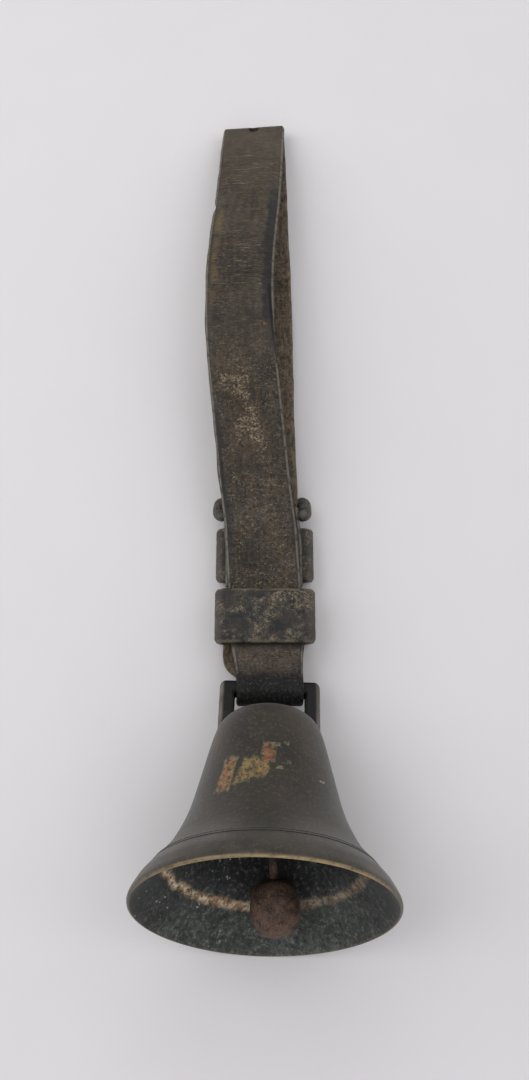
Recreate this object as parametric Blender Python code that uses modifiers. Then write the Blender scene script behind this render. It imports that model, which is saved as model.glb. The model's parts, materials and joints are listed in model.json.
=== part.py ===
"""A bronze handbell hung on a doubled leather strap, lying on its side.

The mouth faces -Y, the strap's far end is +Y, and Z = 0 is the surface it lies on. Metres.
"""

import math

import bmesh
import bpy
import numpy as np
from mathutils import Matrix, Vector

MM = 0.001
GAP = 0.3 * MM

# Bell, measured along its own axis from the lip plane
LIP_RADIUS = 45 * MM
BELL_WALL = 2.2 * MM
CROWN_WALL = 3.2 * MM
CROWN_TOP = 70.0 * MM
REST_ANGLE = math.radians(21.7)
YAW = math.radians(1.5)
SHANK_RADIUS = 1.7 * MM

# Crown loop
LOOP_HALF_WIDTH = 18.9 * MM
LOOP_GAP_HALF = 13.15 * MM
LOOP_TOP = 86.7 * MM
LOOP_BAR = 5.4 * MM
LOOP_FOOT_TOP = 72.2 * MM
WASHER_THICK = 0.7 * MM
NUT_THICK = 1.7 * MM
SHANK_TOP = 75.0 * MM

# Clapper
STAPLE_BOTTOM = 58.0 * MM
RING_RADIUS = 3.6 * MM
RING_WIRE = 1.1 * MM
ROD_RADIUS = 1.5 * MM
BALL_RADIUS = 8.9 * MM
BALL_HALF_LENGTH = 10 * MM
BALL_SHOULDER = 0.62
BALL_FOOT = 0.88
BALL_OUT = 24.5 * MM
BALL_ALONG = 10.0 * MM
CLAPPER_TURN = math.radians(8.6)

# Leather
STRAP_HALF_WIDTH = 14.25 * MM
STRAP_THICK = 2.5 * MM
SKIVED = 1.8 / 2.5
KEEPER_THICK = 1.9 * MM
KEEPER_HALF_WIDTH = 19.5 * MM
TOP_FOLD_Y = 341.7 * MM
TOP_FOLD_RADIUS = 3 * MM
FOLD_SLANT = 0.08
STRAP_START = 2.1 * MM

# Buckle, in the plane across the strap
BUCKLE_X = -0.9 * MM
HEEL = (147.0 * MM, 10.0 * MM)
PRONG = (153.8 * MM, 3.8 * MM)
HEEL_RADIUS = 1.25 * MM
PRONG_RADIUS = 1.5 * MM
CHEEK_RADIUS = 2.4 * MM
CHEEK_X = 17.6 * MM

PARTS = "handbell"


def bell_outline():
    """The outside of the bell from the lip up, as (height, radius)."""
    flare = [(0.0, 44.2), (0.5, 45.0), (1.6, 44.9), (2.8, 44.4), (6.5, 42.4), (9.7, 39.9), (10.4, 39.1)]
    step = [(10.9, 39.2), (11.4, 38.5)]
    waist = [(14.8, 35.7), (18.2, 33.2), (22.1, 31.1), (27.5, 28.7), (33.3, 26.7), (46.2, 23.6)]
    shoulder = [(55.0, 21.7), (61.5, 20.1), (65.6, 18.6), (68.0, 16.8), (69.5, 14.4), (70.0, 12.0)]
    return [(h * MM, r * MM) for h, r in flare + step + waist + shoulder]


# The bell lies on its lip and shoulder, and the origin is under the middle of the whole object
LIP_Z = max(r * math.cos(REST_ANGLE) + h * math.sin(REST_ANGLE) for h, r in bell_outline())
FRONT_REACH = max(r * math.sin(REST_ANGLE) - h * math.cos(REST_ANGLE) for h, r in bell_outline())
BACK_REACH = TOP_FOLD_Y + STRAP_START + FOLD_SLANT * (STRAP_HALF_WIDTH - 0.5 * MM)
LIP_Y = -(BACK_REACH - FRONT_REACH) / 2


def clear_scene():
    for obj in list(bpy.data.objects):
        bpy.data.objects.remove(obj, do_unlink=True)


def new_collection(name):
    made = bpy.data.collections.new(name)
    bpy.context.scene.collection.children.link(made)
    return made


def new_material(name, colour, roughness, metallic):
    made = bpy.data.materials.new(name)
    made.use_nodes = True
    shader = made.node_tree.nodes["Principled BSDF"]
    shader.inputs["Base Color"].default_value = (*colour, 1)
    shader.inputs["Roughness"].default_value = roughness
    shader.inputs["Metallic"].default_value = metallic
    return made


def add_object(name, mesh, collection, material=None, matrix=None):
    obj = bpy.data.objects.new(name, mesh)
    collection.objects.link(obj)
    if material:
        mesh.materials.append(material)
    if matrix:
        obj.matrix_world = matrix
    return obj


def face_out(bm):
    bmesh.ops.recalc_face_normals(bm, faces=bm.faces)
    if bm.calc_volume(signed=True) < 0:
        bmesh.ops.reverse_faces(bm, faces=bm.faces)


def mesh_from(bm, name):
    mesh = bpy.data.meshes.new(name)
    bm.to_mesh(mesh)
    bm.free()
    mesh.shade_smooth()
    mesh.set_sharp_from_angle(angle=math.radians(35))
    return mesh


def curve_to_mesh(curve_obj, name):
    """The curve's evaluated shape as a welded mesh, in place of the curve object."""
    bpy.context.view_layer.update()
    graph = bpy.context.evaluated_depsgraph_get()
    mesh = bpy.data.meshes.new_from_object(curve_obj.evaluated_get(graph))
    bm = bmesh.new()
    bm.from_mesh(mesh)
    bmesh.ops.remove_doubles(bm, verts=bm.verts, dist=1e-6)
    face_out(bm)
    bpy.data.objects.remove(curve_obj, do_unlink=True)
    return mesh_from(bm, name)


def cylinder(start, end, radius, sides=12):
    """A closed cylinder between two points, as a bmesh."""
    start, end = Vector(start), Vector(end)
    bm = bmesh.new()
    bmesh.ops.create_cone(
        bm, cap_ends=True, segments=sides, radius1=radius, radius2=radius, depth=(end - start).length
    )
    turn = (end - start).to_track_quat("Z", "Y").to_matrix().to_4x4()
    bm.transform(Matrix.Translation((start + end) / 2) @ turn)
    face_out(bm)
    return bm


def joined(pieces, name):
    """Separate closed shapes in one mesh, for use as one cutter."""
    whole = bmesh.new()
    for piece in pieces:
        mesh = bpy.data.meshes.new("piece")
        piece.to_mesh(mesh)
        piece.free()
        whole.from_mesh(mesh)
        bpy.data.meshes.remove(mesh)
    return mesh_from(whole, name)


def boolean(target, cutter, operation="DIFFERENCE"):
    modifier = target.modifiers.new(operation.lower(), "BOOLEAN")
    modifier.object = cutter
    modifier.operation = operation
    cutter.hide_render = True
    cutter.display_type = "WIRE"


def bell_matrix():
    """The bell's frame: origin at the lip's centre, +Z to the crown, +Y down to the table."""
    down = (0, -math.sin(REST_ANGLE), -math.cos(REST_ANGLE))
    inward = (0, math.cos(REST_ANGLE), -math.sin(REST_ANGLE))
    axes = Matrix(((1, 0, 0), down, inward)).transposed().to_4x4()
    return Matrix.Translation((0, LIP_Y, LIP_Z)) @ Matrix.Rotation(-YAW, 4, "Z") @ axes


def in_strap_plane(y, z, x=0.0):
    """A point given by its distance behind the start of the strap's measure and its height."""
    return Vector((x, y + LIP_Y + STRAP_START, z))


# ---------------------------------------------------------------- bell


def inner_outline():
    """The inside of the bell: the outside offset square to itself by the wall."""
    outer = [p for p in bell_outline() if p[0] > 1.5 * MM and not 10 * MM < p[0] < 11 * MM]
    found = []
    for before, here, after in zip(outer, outer[1:], outer[2:]):
        slope = Vector((after[0] - before[0], after[1] - before[1])).normalized()
        found.append((here[0] + slope.y * BELL_WALL, here[1] - slope.x * BELL_WALL))
    return [p for p in found if p[0] < CROWN_TOP - CROWN_WALL - 1 * MM and p[1] > 8 * MM]


def build_bell(collection, material):
    outside = [(r, h) for h, r in reversed(bell_outline())]
    lip = [(LIP_RADIUS - 2.4 * MM, 0)]
    inside = [(r, h) for h, r in inner_outline()]
    top = CROWN_TOP - CROWN_WALL
    profile = [(SHANK_RADIUS + GAP, CROWN_TOP)] + outside + lip + inside
    profile += [(9 * MM, top), (SHANK_RADIUS + GAP, top)]
    bm = bmesh.new()
    corners = [bm.verts.new((r, 0, h)) for r, h in profile]
    for a, b in zip(corners, corners[1:] + corners[:1]):
        bm.edges.new((a, b))
    mesh = bpy.data.meshes.new("bell_body")
    bm.to_mesh(mesh)
    bm.free()
    bell = add_object("bell_body", mesh, collection, material, bell_matrix())
    turn = bell.modifiers.new("turn", "SCREW")
    turn.steps = 48
    turn.render_steps = 48
    turn.use_merge_vertices = True
    turn.merge_threshold = 1e-5
    return bell


def build_loop(collection, cutters, material):
    """A flat-bar stirrup whose foot is shaped to the crown, bolted down by the staple's shank."""
    curve = bpy.data.curves.new("crown_loop", "CURVE")
    curve.dimensions = "2D"
    curve.fill_mode = "BOTH"
    curve.extrude = LOOP_BAR / 2
    outer = rounded_rectangle(LOOP_HALF_WIDTH, 63 * MM, LOOP_TOP, 2.2 * MM, 3)
    inner = rounded_rectangle(LOOP_GAP_HALF, LOOP_FOOT_TOP, LOOP_TOP - LOOP_BAR, 0.6 * MM, 1)
    for points in (outer, inner):
        add_poly(curve, [(x, h, 0) for x, h in points], cyclic=True)
    flat = bpy.data.objects.new("crown_loop_outline", curve)
    collection.objects.link(flat)
    mesh = curve_to_mesh(flat, "crown_loop")
    mesh.transform(Matrix.Rotation(math.radians(90), 4, "X"))
    loop = add_object("crown_loop", mesh, collection, material, bell_matrix())
    bevel = loop.modifiers.new("round", "BEVEL")
    bevel.width = 1.5 * MM
    bevel.segments = 2
    bevel.limit_method = "ANGLE"
    bevel.angle_limit = math.radians(60)
    bevel.use_clamp_overlap = False
    boolean(loop, crown_cutter(cutters))
    hole = cylinder((0, 0, 60 * MM), (0, 0, 78 * MM), SHANK_RADIUS + GAP)
    boolean(loop, add_object("loop_hole", mesh_from(hole, "loop_hole"), cutters, None, bell_matrix()))
    return loop


def crown_cutter(cutters):
    """The bell's outside with a fitting gap, as a solid."""
    bm = bmesh.new()
    tall = [p for p in bell_outline() if p[0] > 40 * MM]
    profile = [(0, CROWN_TOP + GAP)] + [(r + GAP, h + GAP) for h, r in reversed(tall)] + [(0, 40 * MM)]
    corners = [bm.verts.new((r, 0, h)) for r, h in profile]
    edges = [bm.edges.new(pair) for pair in zip(corners, corners[1:])]
    up = (0, 0, 1)
    geom = corners + edges
    bmesh.ops.spin(bm, geom=geom, axis=up, cent=(0, 0, 0), angle=math.tau, steps=48, use_duplicate=False)
    bmesh.ops.remove_doubles(bm, verts=bm.verts, dist=1e-6)
    face_out(bm)
    return add_object("crown_shape", mesh_from(bm, "crown_shape"), cutters, None, bell_matrix())


def rounded_rectangle(half_width, low, high, radius, steps=4):
    """Corner points, anticlockwise, of a rectangle with round corners."""
    points = []
    corners = ((half_width, low, -90), (half_width, high, 0))
    corners += ((-half_width, high, 90), (-half_width, low, 180))
    for x, h, first in corners:
        cx = x - math.copysign(radius, x)
        ch = h + radius if h == low else h - radius
        for k in range(steps + 1):
            angle = math.radians(first + 90 * k / steps)
            points.append((cx + radius * math.cos(angle), ch + radius * math.sin(angle)))
    return points


def add_poly(curve, points, cyclic=False, radii=None):
    spline = curve.splines.new("POLY")
    spline.points.add(len(points) - 1)
    for k, point in enumerate(points):
        spline.points[k].co = (*point, 1)
        spline.points[k].radius = radii[k] if radii else 1
    spline.use_cyclic_u = cyclic
    return spline


def torus(radius, wire, matrix, around=20, sides=8):
    """A ring of round wire, as a bmesh, its hole along the matrix's Z."""
    bm = bmesh.new()
    rings = []
    for k in range(around):
        turn = Matrix.Rotation(math.tau * k / around, 4, "Z")
        section = []
        for j in range(sides):
            angle = math.tau * j / sides
            point = Vector((radius + wire * math.cos(angle), 0, wire * math.sin(angle)))
            section.append(bm.verts.new(matrix @ turn @ point))
        rings.append(section)
    for a, b in zip(rings, rings[1:] + rings[:1]):
        for j in range(sides):
            bm.faces.new((a[j], b[j], b[(j + 1) % sides], a[(j + 1) % sides]))
    face_out(bm)
    return bm


def ring_with_rod(name, ring, rod, collection, cutters, material, matrix):
    """A ring and a rod that runs into its wire, made one body."""
    obj = add_object(name, mesh_from(ring, name), collection, material, matrix)
    boolean(obj, add_object(name + "_rod", mesh_from(rod, name + "_rod"), cutters, None, matrix), "UNION")
    return obj


def clapper_matrix():
    """The clapper's frame: origin on the swing axis (+X), +Z up the rod."""
    tilt = math.atan2(BALL_OUT, STAPLE_BOTTOM - BALL_ALONG)
    spin = Matrix.Rotation(-CLAPPER_TURN, 4, "Z")
    lean = Matrix.Rotation(tilt, 4, "X")
    return bell_matrix() @ Matrix.Translation((0, 0, STAPLE_BOTTOM)) @ spin @ lean


def build_staple(collection, cutters, material):
    ring_centre = STAPLE_BOTTOM + RING_RADIUS
    upright = Matrix.Translation((0, 0, ring_centre)) @ Matrix.Rotation(math.radians(90), 4, "X")
    ring = torus(RING_RADIUS, RING_WIRE, upright)
    shank = cylinder((0, 0, ring_centre + RING_RADIUS - 0.6 * MM), (0, 0, SHANK_TOP), SHANK_RADIUS)
    spin = Matrix.Rotation(-CLAPPER_TURN, 4, "Z")
    return ring_with_rod("clapper_staple", ring, shank, collection, cutters, material, bell_matrix() @ spin)


def turned_ring(name, inner, outer, low, high, sides, collection, cutters, material):
    """A washer, or a nut where the sides are few, round the staple's shank."""
    plate = cylinder((0, 0, low), (0, 0, high), outer, sides)
    obj = add_object(name, mesh_from(plate, name), collection, material, bell_matrix())
    hole = cylinder((0, 0, low - MM), (0, 0, high + MM), inner)
    boolean(obj, add_object(name + "_hole", mesh_from(hole, name + "_hole"), cutters, None, bell_matrix()))
    return obj


def build_clapper(collection, cutters, material):
    frame = clapper_matrix()
    reach = math.hypot(BALL_OUT, STAPLE_BOTTOM - BALL_ALONG)
    eye = RING_RADIUS - (2 * RING_WIRE + GAP)
    sideways = Matrix.Rotation(math.radians(90), 4, "Y")
    ring = torus(RING_RADIUS, RING_WIRE, Matrix.Translation((0, 0, -eye)) @ sideways)
    rod_end = -reach + 4 * MM
    rod = cylinder((0, 0, rod_end), (0, 0, -eye - RING_RADIUS + 0.5 * MM), ROD_RADIUS)
    ring_with_rod("clapper_rod", ring, rod, collection, cutters, material, frame)
    build_ball(collection, material, frame @ Matrix.Translation((0, 0, -reach)), rod_end + reach)


def build_ball(collection, material, frame, socket):
    """A barrel, squarer at the rod's end, with a blind socket for the rod."""
    mouth = ROD_RADIUS + GAP
    profile = [(mouth, socket - GAP), (mouth, ball_height(mouth))]
    steps = 16
    for k in range(1, steps + 1):
        angle = math.radians(90 - 180 * k / steps)
        fuller = BALL_SHOULDER if angle > 0 else BALL_FOOT
        profile.append((BALL_RADIUS * math.cos(angle) ** fuller, BALL_HALF_LENGTH * math.sin(angle)))
    profile[-1] = (0, -BALL_HALF_LENGTH)
    bm = bmesh.new()
    corners = [bm.verts.new((0, 0, socket - GAP))] + [bm.verts.new((r, 0, h)) for r, h in profile]
    for pair in zip(corners, corners[1:]):
        bm.edges.new(pair)
    mesh = bpy.data.meshes.new("clapper_ball")
    bm.to_mesh(mesh)
    bm.free()
    ball = add_object("clapper_ball", mesh, collection, material, frame)
    turn = ball.modifiers.new("turn", "SCREW")
    turn.steps = 24
    turn.render_steps = 24
    turn.use_merge_vertices = True
    turn.merge_threshold = 1e-5
    return ball


def ball_height(radius):
    """The height on the ball's upper half where it is this wide."""
    angle = math.acos((radius / BALL_RADIUS) ** (1 / BALL_SHOULDER))
    return BALL_HALF_LENGTH * math.sin(angle)


# ---------------------------------------------------------------- leather


def arc(centre, radius, first, last, steps=8):
    """Points (y, z) round a centre, in millimetres and degrees, 0 along +Y and 90 up."""
    turns = [math.radians(first + (last - first) * k / steps) for k in range(steps + 1)]
    return [(centre[0] + radius * math.cos(a), centre[1] + radius * math.sin(a)) for a in turns]


def strap_route():
    """The strap's middle line as (y, z, x, half width, thickness share), in millimetres."""
    heel = (HEEL[0] / MM, HEEL[1] / MM)
    rows = [(y, 11.9, -0.3, 15.2, SKIVED) for y in (116.5, 123, 132)]
    rows.append((140, 11.95, -0.6, 14.9, SKIVED))
    rows += [(y, z, -0.9, 14.25, SKIVED) for y, z in arc(heel, 2.45, 90, -90)]
    rows += [(142, 7.35, -0.9, 14.25, 0.9), (138, 7.3, -0.8, 14.25, 1), (128, 7.3, -0.6, 14.25, 1)]
    rows += [(116, 7.3, -0.2, 14.2, 1), (104, 7.3, 0.4, 14.0, 1)]
    rows += [(93, 7.1, 1.2, 13.6, 1), (84, 6.5, 1.8, 13.0, 1)]
    bar = LOOP_TOP - LOOP_BAR / 2
    bar_y = (bar * math.cos(REST_ANGLE) - STRAP_START) / MM
    bar_z = (LIP_Z - bar * math.sin(REST_ANGLE)) / MM
    rows += [(y, z, 2.1, 12.7, 1) for y, z in arc((bar_y, bar_z), 5.0, 270, 90, 12)]
    rows += [(80.2, 14.6, 2.0, 12.7, 1), (84, 13.3, 1.8, 12.9, 1), (88, 12.7, 1.45, 13.3, 1)]
    front = ((96, 12.6, 1.15), (104, 12.6, 0.8), (111, 12.7, 0.4), (115, 13.5, 0.1), (120, 15.3, -0.3))
    front += ((130, 15.6, -1.0), (140, 15.9, -1.6), (148, 16.4, -2.6), (158.6, 18.2, -4.0), (175, 22, -5.7))
    front += ((190.5, 25.2, -7.3), (220.7, 28.4, -10), (249.7, 28.2, -10.3))
    front += ((268, 25.8, -9.2), (286.3, 22.6, -7.6))
    front += ((306, 18.0, -6.4), (321.5, 13.0, -5.7), (330.8, 9.2, -5.4))
    rows += [(y, z, x, 14.25, 1) for y, z, x in front]
    bend = TOP_FOLD_RADIUS / MM
    reach = bend + STRAP_THICK / MM / 2
    rows += [(y, z, -5.0, 14.25, 1) for y, z in arc((TOP_FOLD_Y / MM - reach, reach), bend, 90, -90)]
    rear = ((321, 1.7, -4.2), (302, 2.3, -3.8), (286, 3.0, -3.5), (268, 3.9, -2.8), (250, 4.6, -2.3))
    rear += ((220, 5.8, -1.9), (190, 7.2, -1.7), (170, 8.4, -1.3), (161, 9.0, -1.0), (156, 8.9, -0.9))
    rear += ((153.3, 7.9, -0.9), (151.1, 6.3, -0.9), (149.0, 4.7, -0.9), (146.3, 3.8, -0.9), (142, 3.6, -0.9))
    rear += ((130, 3.6, -1.0), (116, 3.6, -1.3), (104, 3.6, -1.6), (96, 3.6, -1.8))
    rows += [(y, z, x, 14.25, 1) for y, z, x in rear]
    rows += [(y, 3.6, -2.0, 14.25 * share, 1) for y, share in ((90, 1), (86, 0.93), (83, 0.74), (81.2, 0.48))]
    return rows + [(80.5, 3.6, -2.0, 14.25 * 0.22, 1)]


def smooth_rows(rows, step=4.5):
    """The rows read along a centripetal spline, so that every bend is smooth."""
    data = np.array(rows, dtype=float)
    ghost_first = 2 * data[0] - data[1]
    ghost_last = 2 * data[-1] - data[-2]
    data = np.vstack([ghost_first, data, ghost_last])
    knots = np.concatenate([[0], np.cumsum(np.sqrt(np.linalg.norm(np.diff(data[:, :3], axis=0), axis=1)))])
    out = []
    for k in range(1, len(data) - 2):
        length = np.linalg.norm(data[k + 1, :3] - data[k, :3])
        count = max(1, round(length / step))
        for j in range(count):
            t = knots[k] + (knots[k + 1] - knots[k]) * j / count
            out.append(spline_at(data[k - 1 : k + 3], knots[k - 1 : k + 3], t))
    out.append(data[-2])
    return np.array(out)


def spline_at(p, knot, t):
    """Barry and Goldman's form of the Catmull-Rom spline."""
    level = [between(p[i], p[i + 1], knot[i], knot[i + 1], t) for i in range(3)]
    level = [between(level[i], level[i + 1], knot[i], knot[i + 2], t) for i in range(2)]
    return between(level[0], level[1], knot[1], knot[2], t)


def between(a, b, low, high, t):
    return a * (high - t) / (high - low) + b * (t - low) / (high - low)


def slant(y):
    """How far the fold's right side lies beyond its left, growing towards the top fold; y in millimetres."""
    return FOLD_SLANT * min(1, max(0, (y - 290) / 40))


def strap_mesh(rows):
    """A flat band lofted along the rows: each section is a rectangle with eased edges."""
    centres = [in_strap_plane(r[0] * MM, r[1] * MM, r[2] * MM) for r in rows]
    ease = 0.5 * MM
    bm = bmesh.new()
    sections = []
    for k, (centre, row) in enumerate(zip(centres, rows)):
        along = centres[min(k + 1, len(centres) - 1)] - centres[max(k - 1, 0)]
        normal = Vector((0, -along.z, along.y)).normalized()
        half = row[3] * MM
        thick = STRAP_THICK * row[4] / 2
        flat = half - ease
        low, high = -thick + ease, thick - ease
        outline = [(-half, low), (-flat, -thick), (flat, -thick), (half, low)]
        outline += [(half, high), (flat, thick), (-flat, thick), (-half, high)]
        across = Vector((1, slant(row[0]), 0))
        sections.append([bm.verts.new(centre + across * x + normal * n) for x, n in outline])
    for a, b in zip(sections, sections[1:]):
        for j in range(len(a)):
            bm.faces.new((a[j], a[(j + 1) % len(a)], b[(j + 1) % len(a)], b[j]))
    bm.faces.new(sections[0])
    bm.faces.new(sections[-1])
    face_out(bm)
    return mesh_from(bm, "strap")


def stitch_rows():
    return [(120.8 + 3.9 * k) * MM for k in range(6)]


def stitch_columns():
    return [BUCKLE_X - 11.3 * MM, BUCKLE_X + 11.3 * MM]


def tongue_line():
    """Where the tongue leaves the heel bar, and its tip, in the strap's plane."""
    along = Vector((PRONG[0] - HEEL[0], PRONG[1] - HEEL[1])).normalized()
    outward = Vector((along.y, -along.x))
    start = Vector(HEEL) + outward * 2.2 * MM
    tip = Vector(PRONG) + outward * 2.95 * MM + along * 0.3 * MM
    return start, tip


def strap_cutters(rows, cutters):
    """Thread holes, the buckle's slot and the row of punched holes."""
    pieces = stitch_holes()
    slot = 1.7 * MM
    heel = in_strap_plane(*HEEL, BUCKLE_X)
    side = Vector((slot, 0, 0))
    pieces.append(cylinder(heel - side, heel + side, 4.1 * MM, 20))
    for centre, normal in punched_holes(rows):
        reach = 1.7 * MM
        pieces.append(cylinder(centre - normal * reach, centre + normal * reach, 2.2 * MM))
    return add_object("strap_holes", joined(pieces, "strap_holes"), cutters)


def tongue_cutter(cutters):
    start, tip = tongue_line()
    past = tip + (tip - start) * 0.3
    path = cylinder(in_strap_plane(*start, BUCKLE_X), in_strap_plane(*past, BUCKLE_X), 1.95 * MM)
    return add_object("tongue_path", mesh_from(path, "tongue_path"), cutters)


def stitch_holes():
    low = in_strap_plane(0, 5.3 * MM).z
    high = in_strap_plane(0, 13.2 * MM).z
    found = []
    for x in stitch_columns():
        for y in stitch_rows():
            place = in_strap_plane(y, 0, x)
            found.append(cylinder((x, place.y, low), (x, place.y, high), 0.7 * MM, 6))
    return found


def punched_holes(rows):
    """Holes at one pitch from the tongue's hole back to the top fold, and one nearer the point."""
    centres = [in_strap_plane(r[0] * MM, r[1] * MM, r[2] * MM) for r in rows]
    lengths = np.concatenate([[0], np.cumsum([(b - a).length for a, b in zip(centres, centres[1:])])])
    fold = max(range(len(centres)), key=lambda k: centres[k].y)
    tongue = min(range(fold, len(centres)), key=lambda k: abs(rows[k][0] - 149.3))
    pitch = (lengths[tongue] - lengths[fold]) / 6
    found = []
    for k in (0, 1, 2, 3, 4, 5, 7):
        at = lengths[fold] + k * pitch
        i = min(range(len(centres)), key=lambda j: abs(lengths[j] - at))
        along = centres[i + 1] - centres[i - 1]
        found.append((centres[i], Vector((0, -along.z, along.y)).normalized()))
    return found


def build_strap(collection, cutters, material):
    rows = smooth_rows(strap_route())
    strap = add_object("strap", strap_mesh(rows), collection, material)
    boolean(strap, strap_cutters(rows, cutters))
    boolean(strap, tongue_cutter(cutters))
    return strap


def keeper_mesh(name, low, high, front, back, corner):
    """A closed leather band: a rounded outline along the strap's width, as deep as its wall."""
    outer = rounded_rectangle(KEEPER_HALF_WIDTH, low, high, corner, 5)
    wall = KEEPER_THICK
    inner_corner = max(corner - wall, 1.2 * MM)
    inner = rounded_rectangle(KEEPER_HALF_WIDTH - wall, low + wall, high - wall, inner_corner, 5)
    ease = 0.5 * MM
    bm = bmesh.new()
    rings = []
    for loop, y, inset in (
        (outer, front + ease, 0), (outer, front, ease), (inner, front, -ease), (inner, front + ease, 0),
        (inner, back - ease, 0), (inner, back, -ease), (outer, back, ease), (outer, back - ease, 0),
    ):
        rings.append([bm.verts.new(pulled_in(x, y, h, low, high, inset)) for x, h in loop])
    for a, b in zip(rings, rings[1:] + rings[:1]):
        for j in range(len(a)):
            bm.faces.new((a[j], a[(j + 1) % len(a)], b[(j + 1) % len(a)], b[j]))
    face_out(bm)
    return mesh_from(bm, name)


def pulled_in(x, y, height, low, high, inset):
    """A keeper's corner point, drawn towards the band's middle by the inset."""
    share = 1 - inset / KEEPER_HALF_WIDTH
    middle = (low + high) / 2
    half = (high - low) / 2
    return in_strap_plane(y, middle + (height - middle) * (1 - inset / half), x * share)


def build_keepers(collection, cutters, material):
    sliding = keeper_mesh("sliding_keeper", 0, 16.6 * MM, 93 * MM, 114.8 * MM, 3.6 * MM)
    add_object("sliding_keeper", sliding, collection, material, Matrix.Translation((0.2 * MM, 0, 0)))
    fixed = keeper_mesh("fixed_keeper", 0, 10.75 * MM, 119 * MM, 141.5 * MM, 3.2 * MM)
    beside = Matrix.Translation((0.1 * MM, 0, 0))
    fixed_keeper = add_object("fixed_keeper", fixed, collection, material, beside)
    boolean(fixed_keeper, add_object("keeper_holes", joined(stitch_holes(), "keeper_holes"), cutters))


def build_threads(collection, material):
    """One thread a side, over and under through its row of holes."""
    for name, x in zip(("chape_thread_left", "chape_thread_right"), stitch_columns()):
        points = []
        for k, y in enumerate(stitch_rows()):
            heights = (13.35, 5.6) if k % 2 == 0 else (5.6, 13.35)
            points += [in_strap_plane(y, h * MM, x) for h in heights]
        curve = bpy.data.curves.new(name, "CURVE")
        curve.dimensions = "3D"
        curve.bevel_depth = 0.32 * MM
        curve.bevel_resolution = 1
        curve.use_fill_caps = True
        add_poly(curve, points)
        obj = bpy.data.objects.new(name, curve)
        collection.objects.link(obj)
        curve.materials.append(material)


# ---------------------------------------------------------------- buckle


def build_buckle(collection, cutters, material):
    """A short frame with heavy cheeks, its origin on the heel bar's axis."""
    along = Vector((0, PRONG[0] - HEEL[0], PRONG[1] - HEEL[1]))
    inner = CHEEK_X - CHEEK_RADIUS + 0.1 * MM
    quarter = ((inner - 0.5 * MM, 0, 0), (CHEEK_X - 1.1 * MM, -0.06, 0.6), (CHEEK_X - 0.1 * MM, 0.08, 1))
    side = [(x, share, grow) for x, share, grow in quarter]
    side.append((CHEEK_X, 0.5, 1.05))
    side += [(x, 1 - share, grow) for x, share, grow in reversed(quarter)]
    outline = side + [(-x, share, grow) for x, share, grow in reversed(side)]
    points = []
    radii = []
    for x, share, grow in outline:
        bar = HEEL_RADIUS + (PRONG_RADIUS - HEEL_RADIUS) * share
        points.append(Vector((x, 0, 0)) + along * share)
        radii.append(bar + (CHEEK_RADIUS - bar) * min(grow, 1.05))
    curve = bpy.data.curves.new("buckle_frame", "CURVE")
    curve.dimensions = "3D"
    curve.bevel_depth = 1.0
    curve.bevel_resolution = 2
    add_poly(curve, points, cyclic=True, radii=radii)
    obj = bpy.data.objects.new("buckle_frame_wire", curve)
    collection.objects.link(obj)
    mesh = curve_to_mesh(obj, "buckle_frame")
    place = Matrix.Translation(in_strap_plane(*HEEL, BUCKLE_X))
    add_object("buckle_frame", mesh, collection, material, place)
    build_tongue(collection, cutters, material, place)


def build_tongue(collection, cutters, material, place):
    eye = torus(HEEL_RADIUS + 1.1 * MM, 0.85 * MM, Matrix.Rotation(math.radians(90), 4, "Y"), 16, 6)
    start, tip = (Vector((0, p.x - HEEL[0], p.y - HEEL[1])) for p in tongue_line())
    shank = cylinder(start, tip, 1.15 * MM, 10)
    ring_with_rod("buckle_tongue", eye, shank, collection, cutters, material, place)


def main():
    clear_scene()
    parts = new_collection(PARTS)
    cutters = new_collection("cutters")
    bronze = new_material("bronze", (0.075, 0.062, 0.045), 0.5, 0.85)
    iron = new_material("iron", (0.06, 0.045, 0.04), 0.7, 0.6)
    rust = new_material("rusty_iron", (0.16, 0.075, 0.05), 0.8, 0.4)
    leather = new_material("leather", (0.075, 0.055, 0.04), 0.65, 0)
    keeper_leather = new_material("keeper_leather", (0.06, 0.05, 0.045), 0.6, 0)
    thread = new_material("thread", (0.2, 0.15, 0.1), 0.9, 0)
    build_bell(parts, bronze)
    build_loop(parts, cutters, bronze)
    build_staple(parts, cutters, iron)
    foot = LOOP_FOOT_TOP + GAP
    bore = SHANK_RADIUS + 0.25 * MM
    turned_ring("staple_washer", bore, 5 * MM, foot, foot + WASHER_THICK, 24, parts, cutters, iron)
    low = foot + WASHER_THICK + 0.1 * MM
    turned_ring("staple_nut", bore, 4 * MM, low, low + NUT_THICK, 4, parts, cutters, iron)
    build_clapper(parts, cutters, rust)
    build_strap(parts, cutters, leather)
    build_keepers(parts, cutters, keeper_leather)
    build_threads(parts, thread)
    build_buckle(parts, cutters, iron)


main()
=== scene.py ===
"""The looks of the handbell: its bronze, rusty iron and old harness leather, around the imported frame."""

import json
import math

import bmesh
import bpy
import numpy as np
from mathutils import Matrix, Vector, noise


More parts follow.
